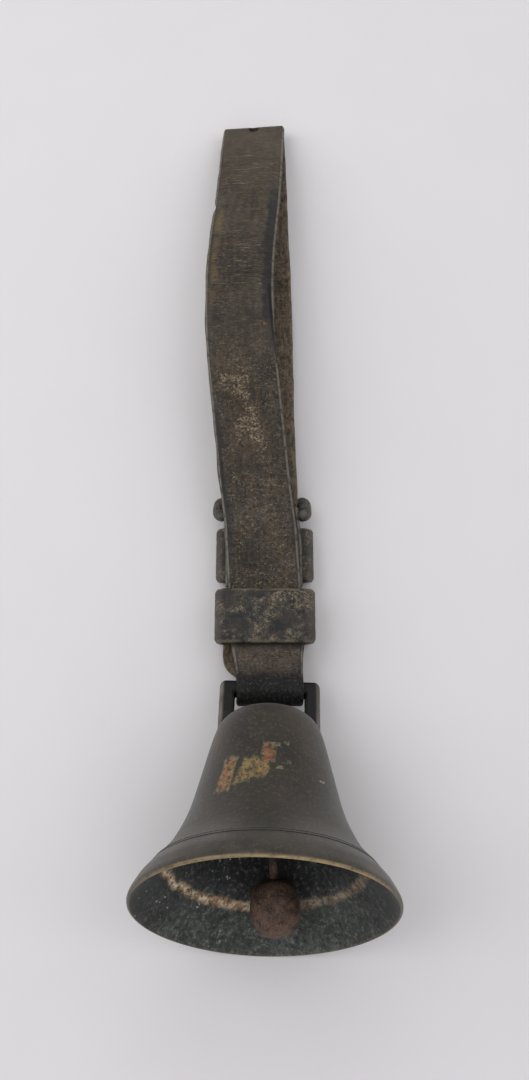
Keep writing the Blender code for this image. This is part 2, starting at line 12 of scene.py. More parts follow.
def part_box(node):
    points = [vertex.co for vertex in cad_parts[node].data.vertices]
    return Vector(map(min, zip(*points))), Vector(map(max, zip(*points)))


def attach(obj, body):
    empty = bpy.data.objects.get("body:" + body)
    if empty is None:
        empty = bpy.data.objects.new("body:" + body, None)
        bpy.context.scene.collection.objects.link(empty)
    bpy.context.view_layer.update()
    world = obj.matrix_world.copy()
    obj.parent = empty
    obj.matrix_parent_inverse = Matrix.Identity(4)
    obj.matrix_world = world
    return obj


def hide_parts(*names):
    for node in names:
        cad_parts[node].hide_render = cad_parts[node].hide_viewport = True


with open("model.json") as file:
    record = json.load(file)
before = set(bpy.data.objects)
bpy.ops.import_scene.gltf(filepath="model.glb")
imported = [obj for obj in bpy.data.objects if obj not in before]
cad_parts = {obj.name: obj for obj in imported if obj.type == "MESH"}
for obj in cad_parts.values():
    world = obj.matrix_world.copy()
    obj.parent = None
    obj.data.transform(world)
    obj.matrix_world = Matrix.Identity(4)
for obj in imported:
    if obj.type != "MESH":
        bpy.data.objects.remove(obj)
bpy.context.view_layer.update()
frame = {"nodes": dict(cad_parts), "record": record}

MM = 0.001
JOINTS = {joint["name"]: joint for joint in frame["record"]["behaviour"]["joints"]}

# How the bell lies, measured from its swing joint on the crown loop's crossbar
REST_ANGLE = math.radians(21.7)
CROSSBAR_HEIGHT = 84.0 * MM

# Lengths times MM are in metres. The others are in millimetres, for outlines drawn in them.

# The bell's wall and the ball, where a power under one makes an end of the barrel fuller than a sphere's
BELL_WALL = 2.2
BELL_STEPS = 192
BALL_RADIUS = 8.9 * MM
BALL_HALF_LENGTH = 10 * MM
BALL_SHOULDER = 0.62
BALL_FOOT = 0.88

# The strap: its start past the lip's centre, section, turns and holes. SKIVED is a share of the thickness,
# FOLD_SLANT the slope of the top fold, and FIRST_HOLE how far the first hole is from it, along the strap.
STRAP_START = 2.1 * MM
STRAP_THICK = 2.5 * MM
STRAP_HALF = 14.25
BIGHT_RADIUS = 5.0
CHAPE_HEEL = (147.0, 10.0)
SKIVED = 0.72
TOP_FOLD = 341.7
FOLD_SLANT = 0.08
HOLE_RADIUS = 2.15 * MM
HEEL_SLOT_HALF = 1.7 * MM
HEEL_SLOT_REACH = 4.1
FIRST_HOLE = -4.0 * MM
KEEPER_THICK = 1.9

# The buckle's frame: the radii of its heel bar, prong bar and cheeks, and where they are
HEEL_RADIUS = 1.25
PRONG_RADIUS = 1.5
CHEEK_RADIUS = 2.4
CHEEK_X = 17.6
PRONG_FROM_HEEL = (0, 6.8, -6.2)
BAR_STEPS = 16

# Cells across the strap's face, angles of the points round each cut edge, and the angle of a sharp edge
COLUMNS = 26
EDGE_TURNS = (50, 0, -50)
SHARP_EDGE = math.radians(50)


def bell_matrix():
    """Origin at the lip's centre, +Z to the crown, +Y down to the table."""
    swing = JOINTS["bell_swing"]
    across = Vector(swing["axis"]).normalized()
    flat = Vector((0, 0, 1)).cross(across)
    inward = flat * math.cos(REST_ANGLE) - Vector((0, 0, math.sin(REST_ANGLE)))
    down = inward.cross(across)
    turn = Matrix((across, down, inward)).transposed().to_4x4()
    return Matrix.Translation(Vector(swing["pos_m"]) - inward * CROSSBAR_HEIGHT) @ turn


BELL = bell_matrix()
LIP_Z = BELL.translation.z
STRAP_Y = BELL.translation.y + STRAP_START


# ---------------------------------------------------------------- shader building


def srgb(red, green, blue):
    """A colour given as 0 to 255, in linear light."""
    shares = [value / 255 for value in (red, green, blue)]
    linear = [c / 12.92 if c <= 0.04045 else ((c + 0.055) / 1.055) ** 2.4 for c in shares]
    return (*linear, 1)


class Material:
    """A Principled material and short ways to add the nodes that feed it."""

    def __init__(self, name, roughness=0.6, metallic=0.0, specular=0.5):
        self.material = bpy.data.materials.new(name)
        self.material.use_nodes = True
        self.tree = self.material.node_tree
        self.shader = self.tree.nodes["Principled BSDF"]
        self.shader.inputs["Roughness"].default_value = roughness
        self.shader.inputs["Metallic"].default_value = metallic
        self.shader.inputs["Specular IOR Level"].default_value = specular
        self.place = self.add("ShaderNodeTexCoord").outputs["Object"]

    def add(self, kind, **settings):
        node = self.tree.nodes.new(kind)
        for key, value in settings.items():
            setattr(node, key, value)
        return node

    def feed(self, socket, value):
        if isinstance(value, bpy.types.NodeSocket):
            self.tree.links.new(value, socket)
        else:
            socket.default_value = value

    def placed(self, matrix):
        """Reads positions in the given frame, for a mesh that holds world positions."""
        node = self.add("ShaderNodeMapping", vector_type="TEXTURE")
        self.feed(node.inputs["Vector"], self.add("ShaderNodeTexCoord").outputs["Object"])
        node.inputs["Location"].default_value = matrix.translation
        node.inputs["Rotation"].default_value = matrix.to_euler()
        self.place = node.outputs[0]

    def attribute(self, name):
        return self.add("ShaderNodeAttribute", attribute_name=name).outputs["Fac"]

    def math(self, operation, a, b=0.0, c=0.0, clamp=False):
        node = self.add("ShaderNodeMath", operation=operation, use_clamp=clamp)
        for socket, value in zip(node.inputs, (a, b, c)):
            self.feed(socket, value)
        return node.outputs[0]

    def axis(self, name, vector=None):
        node = self.add("ShaderNodeSeparateXYZ")
        self.feed(node.inputs[0], vector or self.place)
        return node.outputs[name]

    def stretched(self, scale, vector=None):
        node = self.add("ShaderNodeMapping")
        self.feed(node.inputs["Vector"], vector or self.place)
        node.inputs["Scale"].default_value = scale
        return node.outputs[0]

    def combined(self, x, y, z=0.0):
        node = self.add("ShaderNodeCombineXYZ")
        for socket, value in zip(node.inputs, (x, y, z)):
            self.feed(socket, value)
        return node.outputs[0]

    def noise(self, scale, detail=4.0, rough=0.55, vector=None, distortion=0.0):
        node = self.add("ShaderNodeTexNoise")
        self.feed(node.inputs["Vector"], vector or self.place)
        node.inputs["Scale"].default_value = scale
        node.inputs["Detail"].default_value = detail
        node.inputs["Roughness"].default_value = rough
        node.inputs["Distortion"].default_value = distortion
        return node.outputs["Fac"]

    def cells(self, scale):
        """How far each point is from the middle of its cell."""
        node = self.add("ShaderNodeTexVoronoi")
        self.feed(node.inputs["Vector"], self.place)
        node.inputs["Scale"].default_value = scale
        return node.outputs["Distance"]

    def between(self, value, low, high, out_low=0.0, out_high=1.0):
        """A smooth step of the value from low to high."""
        node = self.add("ShaderNodeMapRange", interpolation_type="SMOOTHSTEP")
        for socket, number in zip(node.inputs, (value, low, high, out_low, out_high)):
            self.feed(socket, number)
        return node.outputs[0]

    def band(self, value, low, high, soft):
        """One inside the band from low to high, fading over soft on both sides."""
        rise = self.between(value, low - soft, low + soft)
        fall = self.between(value, high - soft, high + soft, 1.0, 0.0)
        return self.math("MULTIPLY", rise, fall)

    def mix(self, share, a, b):
        node = self.add("ShaderNodeMix", data_type="RGBA")
        self.feed(node.inputs[0], share)
        self.feed(node.inputs[6], a)
        self.feed(node.inputs[7], b)
        return node.outputs[2]

    def product(self, *values):
        result = values[0]
        for value in values[1:]:
            result = self.math("MULTIPLY", result, value)
        return result

    def ragged(self, scale, detail, rough, vector, size):
        """Noise centred on zero, to move the edge of a band by up to about half the size."""
        centred = self.math("SUBTRACT", self.noise(scale, detail, rough, vector), 0.5)
        return self.math("MULTIPLY", centred, size)

    def finish(self, colour, roughness=None, height=None, distance=0.0002, metallic=None):
        """Connects the colour and whatever else is given, and returns the Blender material."""
        self.feed(self.shader.inputs["Base Color"], colour)
        if roughness is not None:
            self.feed(self.shader.inputs["Roughness"], roughness)
        if metallic is not None:
            self.feed(self.shader.inputs["Metallic"], metallic)
        if height is not None:
            bump = self.add("ShaderNodeBump")
            bump.inputs["Distance"].default_value = distance
            bump.inputs["Strength"].default_value = 1.0
            self.feed(bump.inputs["Height"], height)
            self.feed(self.shader.inputs["Normal"], bump.outputs[0])
        return self.material


# ---------------------------------------------------------------- materials


def bell_bronze():
    """Brown-grey patina outside, verdigris inside with painted shade, pale where the clapper wears it, and a
    worn lip with a painted highlight along its upper side.
    """
    m = Material("bell_bronze")
    m.shader.inputs["Sheen Weight"].default_value = 0.12
    m.placed(BELL)
    along = m.axis("Z")
    inside = m.attribute("inside")
    lip = m.attribute("lip")
    cloud = m.noise(55, 5, 0.6)
    fine = m.noise(900, 4, 0.65)
    rings = m.combined(m.math("MULTIPLY", m.attribute("radius"), 1500), m.math("MULTIPLY", along, 1900))
    turned = m.noise(1.0, 4, 0.7, rings)
    patina = m.mix(m.between(cloud, 0.32, 0.7), srgb(42, 38, 31), srgb(60, 53, 43))
    patina = m.mix(m.between(turned, 0.35, 0.75, 0.0, 0.5), patina, srgb(44, 40, 36))
    patina = m.mix(m.between(fine, 0.5, 0.72, 0.0, 0.55), patina, srgb(96, 88, 74))
    spots = m.product(m.between(m.noise(260, 4, 0.7), 0.6, 0.68), 0.55)
    patina = m.mix(spots, patina, srgb(36, 34, 32))
    warm = m.product(m.band(along, 0.045, 0.064, 0.008), m.between(m.noise(70, 3), 0.5, 0.7, 0.0, 0.6))
    patina = m.mix(warm, patina, srgb(80, 66, 48))
    flare = m.product(m.between(along, 0.0125, 0.009), m.between(m.noise(120, 3), 0.35, 0.75, 0.1, 0.55))
    patina = m.mix(flare, patina, srgb(86, 78, 68))
    patina = painted(m, patina, along)
    hollow = inside_of_bell(m, along, fine)
    colour = m.mix(inside, patina, hollow)
    ragged = m.noise(260, 4, 0.7)
    # The lip is worn pale, and lighter still along its upper side and towards the right as a painted
    # highlight.
    upper = m.between(m.axis("Y"), -0.01, -0.036, 0.08, 0.85)
    lip_wear_and_highlight = m.product(lip, upper, m.between(ragged, 0.3, 0.55, 0.3, 1.0))
    lip_wear_and_highlight = m.product(lip_wear_and_highlight, m.between(m.axis("X"), -0.04, 0.02, 0.6, 1.0))
    colour = m.mix(lip_wear_and_highlight, colour, srgb(190, 164, 120))
    rough = m.math("ADD", m.between(cloud, 0.2, 0.8, 0.36, 0.5), m.product(inside, 0.25))
    height = m.math("ADD", m.product(fine, 0.45), m.product(turned, 0.35))
    height = m.math("ADD", height, m.product(m.noise(240, 4), 0.3))
    bare = m.math("SUBTRACT", 0.5, m.product(inside, 0.35))
    return m.finish(colour, rough, height, 0.00014, m.math("ADD", bare, m.product(lip_wear_and_highlight, 0.25)))


def inside_of_bell(m, along, fine):
    """Grey-green verdigris low near the mouth, blue-black above and deeper in as painted shade, pale specks,
    and the clapper's worn ring.
    """
    lit_low_side = m.between(m.axis("Y"), -0.008, 0.032)
    cloud = m.noise(130, 6, 0.72)
    # Painted shade: the upper wall and the depth of the hollow are blue-black, and only the lower wall near
    # the mouth shows the grey-green where light falls.
    dark = m.mix(m.between(cloud, 0.38, 0.68), srgb(10, 12, 15), srgb(34, 37, 39))
    green = m.mix(m.between(cloud, 0.3, 0.7), srgb(42, 45, 42), srgb(78, 81, 76))
    colour = m.mix(m.product(lit_low_side, m.between(along, 0.034, 0.004)), dark, green)
    mottle = m.noise(640, 5, 0.78)
    pale = m.product(m.between(mottle, 0.52, 0.66, 0.0, 0.6), m.math("ADD", 0.2, m.product(lit_low_side, 0.8)))
    colour = m.mix(pale, colour, srgb(132, 134, 128))
    colour = m.mix(m.between(mottle, 0.49, 0.38, 0.0, 0.75), colour, srgb(16, 18, 20))
    dust = m.product(m.between(m.cells(520), 0.26, 0.12), m.between(m.noise(95, 2), 0.5, 0.64))
    dust = m.product(dust, m.between(m.axis("X"), 0.012, -0.02, 0.1, 1.0))
    colour = m.mix(m.product(dust, 0.8), colour, srgb(190, 192, 188))
    waver = m.ragged(85, 4, 0.7, m.place, 0.005)
    ring = m.band(m.math("ADD", along, waver), 0.0128, 0.0148, 0.0011)
    ragged = m.between(m.noise(700, 5, 0.78), 0.38, 0.56, 0.1, 1.0)
    left = m.between(m.axis("X"), 0.016, -0.006, 0.4, 1.0)
    worn = m.mix(m.between(m.noise(330, 3), 0.35, 0.65), srgb(176, 134, 96), srgb(242, 220, 186))
    return m.mix(m.product(ring, ragged, left), colour, worn)


# Remains of old paint on the bell, as (angle from the top, height, half width, half height, lean, tone),
# with angles and widths in degrees, heights in millimetres, and tone an index into PAINT_TONES
PAINT_FLAKES = (
    (-32, 37.3, 5.4, 6.2, 0.3, 0),
    (-16, 38.0, 5.8, 4.6, 0.45, 1),
    (-5, 38.4, 5.4, 3.4, 0.3, 1),
    (0.5, 44.8, 5.2, 4.0, 0.15, 2),
    (6, 48.6, 3.4, 0.7, 0.0, 3),
    (15, 49.4, 2.0, 0.6, 0.0, 3),
    (16.5, 41.5, 1.6, 0.8, 0.0, 3),
    (9, 39.0, 2.2, 0.6, 0.0, 3),
    (45.5, 37.5, 3.0, 0.4, 0.0, 4),
)
PAINT_TONES = (
    ((150, 90, 58), (140, 120, 82)),
    ((144, 122, 78), (120, 82, 48)),
    ((126, 66, 46), (134, 106, 76)),
    ((108, 106, 74), (128, 122, 90)),
    ((150, 146, 136), (160, 156, 148)),
)


def painted(m, colour, along):
    """Ragged, speckled flakes of ochre, tan and red-brown with green rims, and a pale chip."""
    across = m.math("ARCTAN2", m.axis("X"), m.math("MULTIPLY", m.axis("Y"), -1.0))
    ragged = m.math("SUBTRACT", m.noise(330, 4, 0.75), 0.5)
    coarse = m.between(m.noise(520, 6, 0.8), 0.46, 0.56)
    chipped = m.between(m.noise(560, 6, 0.82), 0.43, 0.53)
    for angle, height, half_width, half_height, lean, tone in PAINT_FLAKES:
        v = m.math("DIVIDE", m.math("SUBTRACT", along, height * MM), half_height * MM)
        u = m.math("DIVIDE", m.math("SUBTRACT", across, math.radians(angle)), math.radians(half_width))
        u = m.math("SUBTRACT", u, m.math("MULTIPLY", v, lean))
        spread = m.math("MAXIMUM", m.math("ABSOLUTE", u), m.math("ABSOLUTE", v))
        edge = m.math("ADD", spread, m.math("MULTIPLY", ragged, 1.4 if half_height > 1 else 3.0))
        rim = m.product(m.between(edge, 1.28, 1.12), chipped)
        colour = m.mix(m.product(rim, 0.55), colour, srgb(112, 114, 82))
        flake = m.product(m.between(edge, 1.04, 0.94), chipped)
        low, high = PAINT_TONES[tone]
        colour = m.mix(m.product(flake, 0.9), colour, m.mix(coarse, srgb(*low), srgb(*high)))
    return colour


def iron(name, dark, mid, light, pits=0.5, metallic=0.25):
    """Rusted iron: cloudy browns, pits and a few worn, paler spots."""
    m = Material(name, metallic=metallic, specular=0.4)
    cloud = m.noise(260, 6, 0.65)
    fine = m.noise(1500, 4, 0.7)
    colour = m.mix(m.between(cloud, 0.35, 0.62), dark, mid)
    colour = m.mix(m.between(fine, 0.52, 0.72, 0.0, 0.7), colour, light)
    hole = m.between(m.cells(700), 0.12, 0.3)
    colour = m.mix(m.math("SUBTRACT", pits, m.product(hole, pits)), colour, dark)
    height = m.math("ADD", m.product(cloud, 0.8), m.math("ADD", m.product(fine, 0.5), m.product(hole, 0.6)))
    return m.finish(colour, m.between(cloud, 0.3, 0.7, 0.55, 0.85), height, 0.00022)


def loop_bronze():
    """Nearly black on its inner side next to the strap, as painted shade, and paler bronze on its outside."""
    m = Material("loop_bronze", specular=0.25)
    m.placed(BELL)
    cloud = m.noise(150, 5, 0.6)
    fine = m.noise(1100, 4, 0.7)
    unshaded_outer = m.between(m.math("ABSOLUTE", m.axis("X")), 0.0168, 0.0182)
    bare = m.mix(m.between(cloud, 0.35, 0.7), srgb(80, 77, 70), srgb(112, 107, 98))
    bare = m.mix(m.between(fine, 0.55, 0.8, 0.0, 0.6), bare, srgb(92, 87, 78))
    # black is painted shade on the loop's inner side, where the strap shades it.
    black = m.mix(m.between(cloud, 0.35, 0.7), srgb(11, 10, 10), srgb(20, 19, 17))
    wander = m.math("MULTIPLY", m.math("SUBTRACT", cloud, 0.5), 0.4)
    colour = m.mix(m.math("ADD", unshaded_outer, wander, clamp=True), black, bare)
    height = m.math("ADD", m.product(cloud, 0.6), m.product(fine, 0.5))
    return m.finish(colour, m.between(cloud, 0.3, 0.7, 0.45, 0.65), height, 0.00018)


def strap_leather():
    """Old harness leather: grain, cross cracks, flaked tan patches, painted shade and highlights on its
    edges, and a fibrous flesh side.

    Patches are placed by behind, the metres from the strap's start at the bell, and across, from -1 at the
    left edge to 1 at the right. flat is the leather laid out flat, so that the grain follows the strap."""
    m = Material("strap_leather", specular=0.28)
    across = m.attribute("across")
    grain = m.attribute("grain")
    behind = m.math("SUBTRACT", m.axis("Y"), STRAP_Y)
    flat = m.combined(m.math("MULTIPLY", across, STRAP_HALF * MM), m.attribute("run"))
    cloud = m.noise(48, 5, 0.6, flat)
    streak = m.noise(1.0, 5, 0.65, m.stretched((500, 60, 1), flat))
    weave = m.noise(1.0, 4, 0.7, m.stretched((260, 900, 1), flat))
    colour = m.mix(m.between(cloud, 0.32, 0.68), srgb(38, 33, 29), srgb(72, 63, 55))
    colour = m.mix(m.between(streak, 0.45, 0.7, 0.0, 0.6), colour, srgb(90, 77, 61))
    colour = m.mix(m.between(weave, 0.5, 0.66, 0.0, 0.7), colour, srgb(30, 26, 24))
    smooth = m.between(behind, 0.205, 0.222, 0.85, 0.45)
    colour = pebbled(m, colour, flat, smooth)
    colour = m.mix(m.between(behind, 0.262, 0.32, 0.0, 0.35), colour, srgb(94, 82, 68))
    colour, flaked = flaked_grain(m, colour, flat, behind, across)
    colour, cracks = cross_cracks(m, colour, flat, behind, across)
    colour = painted_edge_light(m, colour, flat, behind, across)
    colour = greasy_end(m, colour, flat, behind)
    flesh = pebbled(m, flesh_side(m, flat), flat, 0.7)
    colour = m.mix(m.between(grain, 0.1, -0.1), colour, flesh)
    rim = m.product(m.between(m.math("ABSOLUTE", grain), 0.8, 0.35), m.between(m.noise(380, 3), 0.35, 0.7))
    rim = m.product(rim, m.between(behind, 0.083, 0.09, 0.1, 0.6))
    colour = m.mix(rim, colour, srgb(120, 106, 88))
    hole = m.between(m.attribute("hole"), 0.5, 1.0)
    colour = m.mix(m.product(hole, 0.75), colour, srgb(24, 21, 19))
    height = m.math("ADD", m.product(weave, 0.5), m.product(m.noise(1700, 3, 0.7), 0.45))
    height = m.math("ADD", height, m.product(flaked, 0.5))
    height = m.math("SUBTRACT", height, m.product(cracks, 0.8))
    rough = m.between(m.noise(130, 4, 0.6, flat), 0.3, 0.7, 0.5, 0.75)
    return m.finish(colour, rough, height, 0.00035)


def pebbled(m, colour, place, strength):
    """Fine pale and dark specks about a millimetre across, in patches."""
    patchy = m.between(m.noise(110, 5, 0.7, place), 0.38, 0.6, 0.15, 1.0)
    fine = m.noise(1000, 6, 0.85, m.stretched((0.75, 1.25, 1), place))
    pale = m.mix(m.between(m.noise(420, 3, 0.6, place), 0.4, 0.6), srgb(102, 91, 77), srgb(146, 132, 111))
    light = m.product(m.between(fine, 0.5, 0.6), strength, patchy)
    colour = m.mix(light, colour, pale)
    coarse = m.noise(620, 6, 0.85, m.stretched((1.2, 0.8, 1), place))
    between_pale = m.math("SUBTRACT", 1.15, m.product(patchy, 0.5))
    dark = m.product(m.between(coarse, 0.5, 0.42), strength, between_pale, 0.95)
    return m.mix(dark, colour, srgb(25, 22, 20))


def flaked_grain(m, colour, flat, behind, across):
    """Where the grain has flaked to tan and yellow-brown, dark bits between, and one rusty spot."""
    patch = m.noise(75, 5, 0.65, flat)
    wander = m.ragged(140, 4, 0.7, flat, 0.05)
    place = m.math("ADD", behind, wander)
    worn = m.band(place, 0.098, 0.214, 0.008)
    lean = m.math("ADD", across, m.math("MULTIPLY", m.math("SUBTRACT", behind, 0.19), 14.0))
    lean = m.math("ADD", lean, m.math("MULTIPLY", wander, 14.0))
    strongest = m.product(m.band(place, 0.166, 0.21, 0.006), m.band(lean, -0.72, 0.3, 0.22))
    bits = m.noise(1050, 6, 0.82, flat)
    middle = m.between(m.math("ABSOLUTE", across), 1.0, 0.6, 0.3, 1.0)
    amount = m.product(worn, m.between(patch, 0.42, 0.6, 0.25, 0.9), middle)
    amount = m.math("MAXIMUM", amount, m.product(strongest, m.between(patch, 0.38, 0.54, 0.6, 1.2)))
    level = m.math("SUBTRACT", 0.7, m.product(amount, 0.2))
    flaked = m.between(m.math("SUBTRACT", bits, level), -0.01, 0.05)
    tan = m.mix(m.between(m.noise(260, 4, 0.7, flat), 0.4, 0.6), srgb(98, 87, 70), srgb(160, 144, 117))
    brown = m.product(strongest, m.between(m.noise(300, 4, 0.7, flat), 0.4, 0.6))
    colour = m.mix(m.product(brown, 0.6), colour, srgb(72, 55, 38))
    dark_bits = m.between(m.noise(430, 5, 0.75, flat), 0.47, 0.38)
    colour = m.mix(m.product(dark_bits, worn, 0.8), colour, srgb(26, 23, 22))
    spot_x = m.math("SUBTRACT", across, 0.72)
    spot_y = m.math("MULTIPLY", m.math("SUBTRACT", behind, 0.223), 70)
    spot = m.math("ADD", m.product(spot_x, spot_x), m.product(spot_y, spot_y))
    spot = m.math("ADD", spot, m.ragged(1100, 3, 0.7, flat, 0.02))
    colour = m.mix(m.between(spot, 0.005, 0.002, 0.0, 0.6), colour, srgb(146, 92, 52))
    return m.mix(m.product(flaked, 0.85), colour, tan), flaked


def cross_cracks(m, colour, flat, behind, across):
    """Fine cracks across the strap, gathered where the leather has bent most."""
    wobble = m.noise(1.0, 3, 0.6, m.stretched((90, 700, 1), flat))
    line = m.noise(1.0, 3, 0.5, m.stretched((70, 1500, 1), flat), 0.3)
    sharp = m.between(m.math("ABSOLUTE", m.math("SUBTRACT", line, 0.5)), 0.05, 0.014)
    crest = m.band(behind, 0.243, 0.272, 0.008)
    top = m.band(behind, 0.296, 0.322, 0.008)
    bent = m.product(m.math("ADD", crest, top, clamp=True), 0.9)
    bent = m.math("ADD", bent, m.between(behind, 0.2, 0.23, 0.12, 0.45))
    middle = m.between(m.math("ABSOLUTE", across), 0.98, 0.7)
    cracks = m.product(sharp, bent, middle, m.between(wobble, 0.35, 0.6))
    lit = m.mix(m.between(wobble, 0.42, 0.6), srgb(24, 21, 19), srgb(126, 112, 93))
    return m.mix(m.product(cracks, 0.85), colour, lit), cracks


def painted_edge_light(m, colour, flat, behind, across):
    """Painted light on the edges: painted shade where they curl down, a painted highlight where the left one
    turns to the light, thin painted highlights along them, and a slit drawn as a dark line of painted shade.
    """
    edge = m.math("ABSOLUTE", across)
    wander = m.math("ADD", across, m.ragged(160, 4, 0.7, flat, 0.5))
    right = m.product(m.between(wander, 0.58, 0.74), m.band(behind, 0.222, 0.294, 0.008))
    low_left = m.product(m.between(wander, -0.7, -0.92), m.band(behind, 0.125, 0.19, 0.012))
    thin = m.product(m.between(edge, 0.86, 0.97), 0.8)
    # The dark blue-grey bands are painted shade where the edges curl down.
    blue = m.math("MAXIMUM", m.math("MAXIMUM", right, low_left), thin)
    blue = m.product(blue, m.between(m.noise(90, 3, 0.6, flat), 0.25, 0.5, 0.4, 0.8))
    colour = m.mix(blue, colour, srgb(30, 32, 35))
    # A painted highlight on the left edge where it turns to the light.
    edge_highlight = m.product(m.band(across, -0.84, -0.66, 0.08), m.band(behind, 0.238, 0.285, 0.008))
    edge_highlight = m.product(edge_highlight, m.between(m.noise(240, 4, 0.7, flat), 0.35, 0.6))
    colour = m.mix(m.product(edge_highlight, 0.8), colour, srgb(106, 91, 62))
    # The thin pale lines along the edges are painted highlights.
    line = m.product(m.band(edge, 0.935, 0.985, 0.02), m.between(m.noise(300, 4, 0.7, flat), 0.3, 0.55))
    colour = m.mix(m.product(line, 0.7), colour, srgb(126, 119, 108))
    # The slit is a dark line of painted shade.
    across_slit = m.math("ADD", 0.87, m.math("MULTIPLY", m.math("SUBTRACT", behind, 0.24), -4.0))
    near = m.math("ABSOLUTE", m.math("SUBTRACT", across, across_slit))
    slit = m.product(m.between(near, 0.06, 0.025), m.band(behind, 0.206, 0.242, 0.003))
    return m.mix(m.product(slit, 0.9), colour, srgb(14, 13, 13))


def greasy_end(m, colour, flat, behind):
    """Black and greasy where the strap turns through the bell's loop, with a painted shadow under the sliding
    keeper's edge.
    """
    ragged = m.ragged(140, 4, 0.7, flat, 0.009)
    near = m.between(m.math("ADD", behind, ragged), 0.085, 0.079)
    # A painted shadow: a dark band on the strap just below the sliding keeper's lower edge.
    keeper_shadow = m.band(m.math("ADD", behind, m.product(ragged, 0.2)), 0.0918, 0.0985, 0.0012)
    colour = m.mix(m.product(keeper_shadow, 0.8), colour, srgb(24, 21, 19))
    spots = m.between(m.noise(900, 6, 0.85, flat), 0.52, 0.62)
    black = m.mix(m.product(spots, 0.6), srgb(9, 8, 8), srgb(82, 79, 74))
    return m.mix(near, colour, black)


def flesh_side(m, flat):
    """The strap's inner face: loose brown fibres."""
    fibre = m.noise(1.0, 5, 0.75, m.stretched((700, 240, 1), flat))
    cloud = m.noise(90, 4, 0.6, flat)
    colour = m.mix(m.between(fibre, 0.35, 0.7), srgb(60, 51, 42), srgb(124, 108, 88))
    return m.mix(m.between(cloud, 0.5, 0.7, 0.0, 0.6), colour, srgb(58, 50, 43))


def keeper_leather():
    """Dark worn leather with blue-black spots, tan flakes and pale cut edges."""
    m = Material("keeper_leather", specular=0.4)
    cloud = m.noise(95, 5, 0.65)
    bits = m.noise(760, 6, 0.8)
    colour = m.mix(m.between(cloud, 0.35, 0.66), srgb(17, 16, 15), srgb(52, 46, 41))
    colour = pebbled(m, colour, m.place, 0.75)
    spots = m.between(m.noise(150, 4, 0.65), 0.52, 0.6)
    colour = m.mix(m.product(spots, 0.9), colour, srgb(13, 15, 18))
    flaked = m.product(m.between(bits, 0.5, 0.58), m.between(m.noise(110, 4, 0.65), 0.46, 0.58))
    tan = m.mix(m.between(cloud, 0.4, 0.6), srgb(96, 85, 70), srgb(142, 126, 102))
    colour = m.mix(m.product(flaked, 0.8), colour, tan)
    side = m.between(m.math("ABSOLUTE", m.axis("X")), 0.0155, 0.0185)
    colour = m.mix(m.product(side, 0.4), colour, srgb(92, 85, 76))
    cut = m.attribute("cut")
    colour = m.mix(m.product(cut, m.between(m.noise(300, 3), 0.3, 0.6), 0.8), colour, srgb(122, 112, 96))
    height = m.math("ADD", m.product(bits, 0.7), m.product(m.noise(1700, 3), 0.4))
    return m.finish(colour, m.between(cloud, 0.3, 0.7, 0.42, 0.68), height, 0.00032)


def waxed_thread():
    """Tan linen thread with a fine twist."""
    m = Material("waxed_thread")
    twist = m.noise(1.0, 2, 0.5, m.stretched((1200, 2600, 1200)))
    colour = m.mix(m.between(twist, 0.35, 0.65), srgb(88, 72, 52), srgb(146, 124, 92))
    return m.finish(colour, 0.8, twist, 0.0001)


# ---------------------------------------------------------------- meshes


def add_piece(name, mesh, material, body, node, matrix=None):
    """Puts a mesh in the scene in place of a CAD node, riding on that node's body."""
    if matrix:
        mesh.transform(matrix)
    obj = bpy.data.objects.new(name, mesh)
    bpy.context.scene.collection.objects.link(obj)
    mesh.materials.append(material)
    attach(obj, body)
    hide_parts(node)


def grid_mesh(name, rows, ring=True, attributes=None):
    """A closed skin over closed rows of points, which run in a ring or end in two caps."""
    bm = bmesh.new()
    layers = {key: bm.verts.layers.float.new(key) for key in (attributes or {})}
    grid = []
    for i, row in enumerate(rows):
        line = []
        for j, point in enumerate(row):
            vert = bm.verts.new(point)
            for key, layer in layers.items():
                vert[layer] = float(attributes[key][i][j])
            line.append(vert)
        grid.append(line)
    pairs = list(zip(grid, grid[1:]))
    if ring:
        pairs.append((grid[-1], grid[0]))
    for a, b in pairs:
        for j in range(len(a)):
            k = (j + 1) % len(a)
            bm.faces.new((a[j], a[k], b[k], b[j]))
    if not ring:
        bm.faces.new(grid[0])
        bm.faces.new(grid[-1])
    bmesh.ops.recalc_face_normals(bm, faces=bm.faces)
    return finished_mesh(name, bm)


def finished_mesh(name, bm):
    """The smooth mesh of a closed skin, with its faces turned outwards."""
    if bm.calc_volume(signed=True) < 0:
        bmesh.ops.reverse_faces(bm, faces=bm.faces)
    mesh = bpy.data.meshes.new(name)
    bm.to_mesh(mesh)
    bm.free()
    mesh.shade_smooth()
    return mesh


def spline_through(points, per_span):
    """Rows on a centripetal Catmull-Rom spline through the given ones, spaced by their first three numbers.

    per_span gives how many rows a span of that length is cut into."""
    data = np.array(points, dtype=float)
    data = np.vstack([2 * data[0] - data[1], data, 2 * data[-1] - data[-2]])
    spans = np.linalg.norm(np.diff(data[:, :3], axis=0), axis=1)
    knots = np.concatenate([[0], np.cumsum(np.sqrt(spans))])
    out = []
    for k in range(1, len(data) - 2):
        count = max(1, per_span(spans[k]))
        for j in range(count):
            t = knots[k] + (knots[k + 1] - knots[k]) * j / count
            out.append(spline_at(data[k - 1 : k + 3], knots[k - 1 : k + 3], t))
    out.append(data[-2])
    return np.array(out)


def spline_at(p, knot, t):
    """Barry and Goldman's form of the spline."""
    level = [between(p[i], p[i + 1], knot[i], knot[i + 1], t) for i in range(3)]
    level = [between(level[i], level[i + 1], knot[i], knot[i + 2], t) for i in range(2)]
    return between(level[0], level[1], knot[1], knot[2], t)


def between(a, b, low, high, t):
    """The value at t on the straight line through a at low and b at high."""
    return a * (high - t) / (high - low) + b * (t - low) / (high - low)


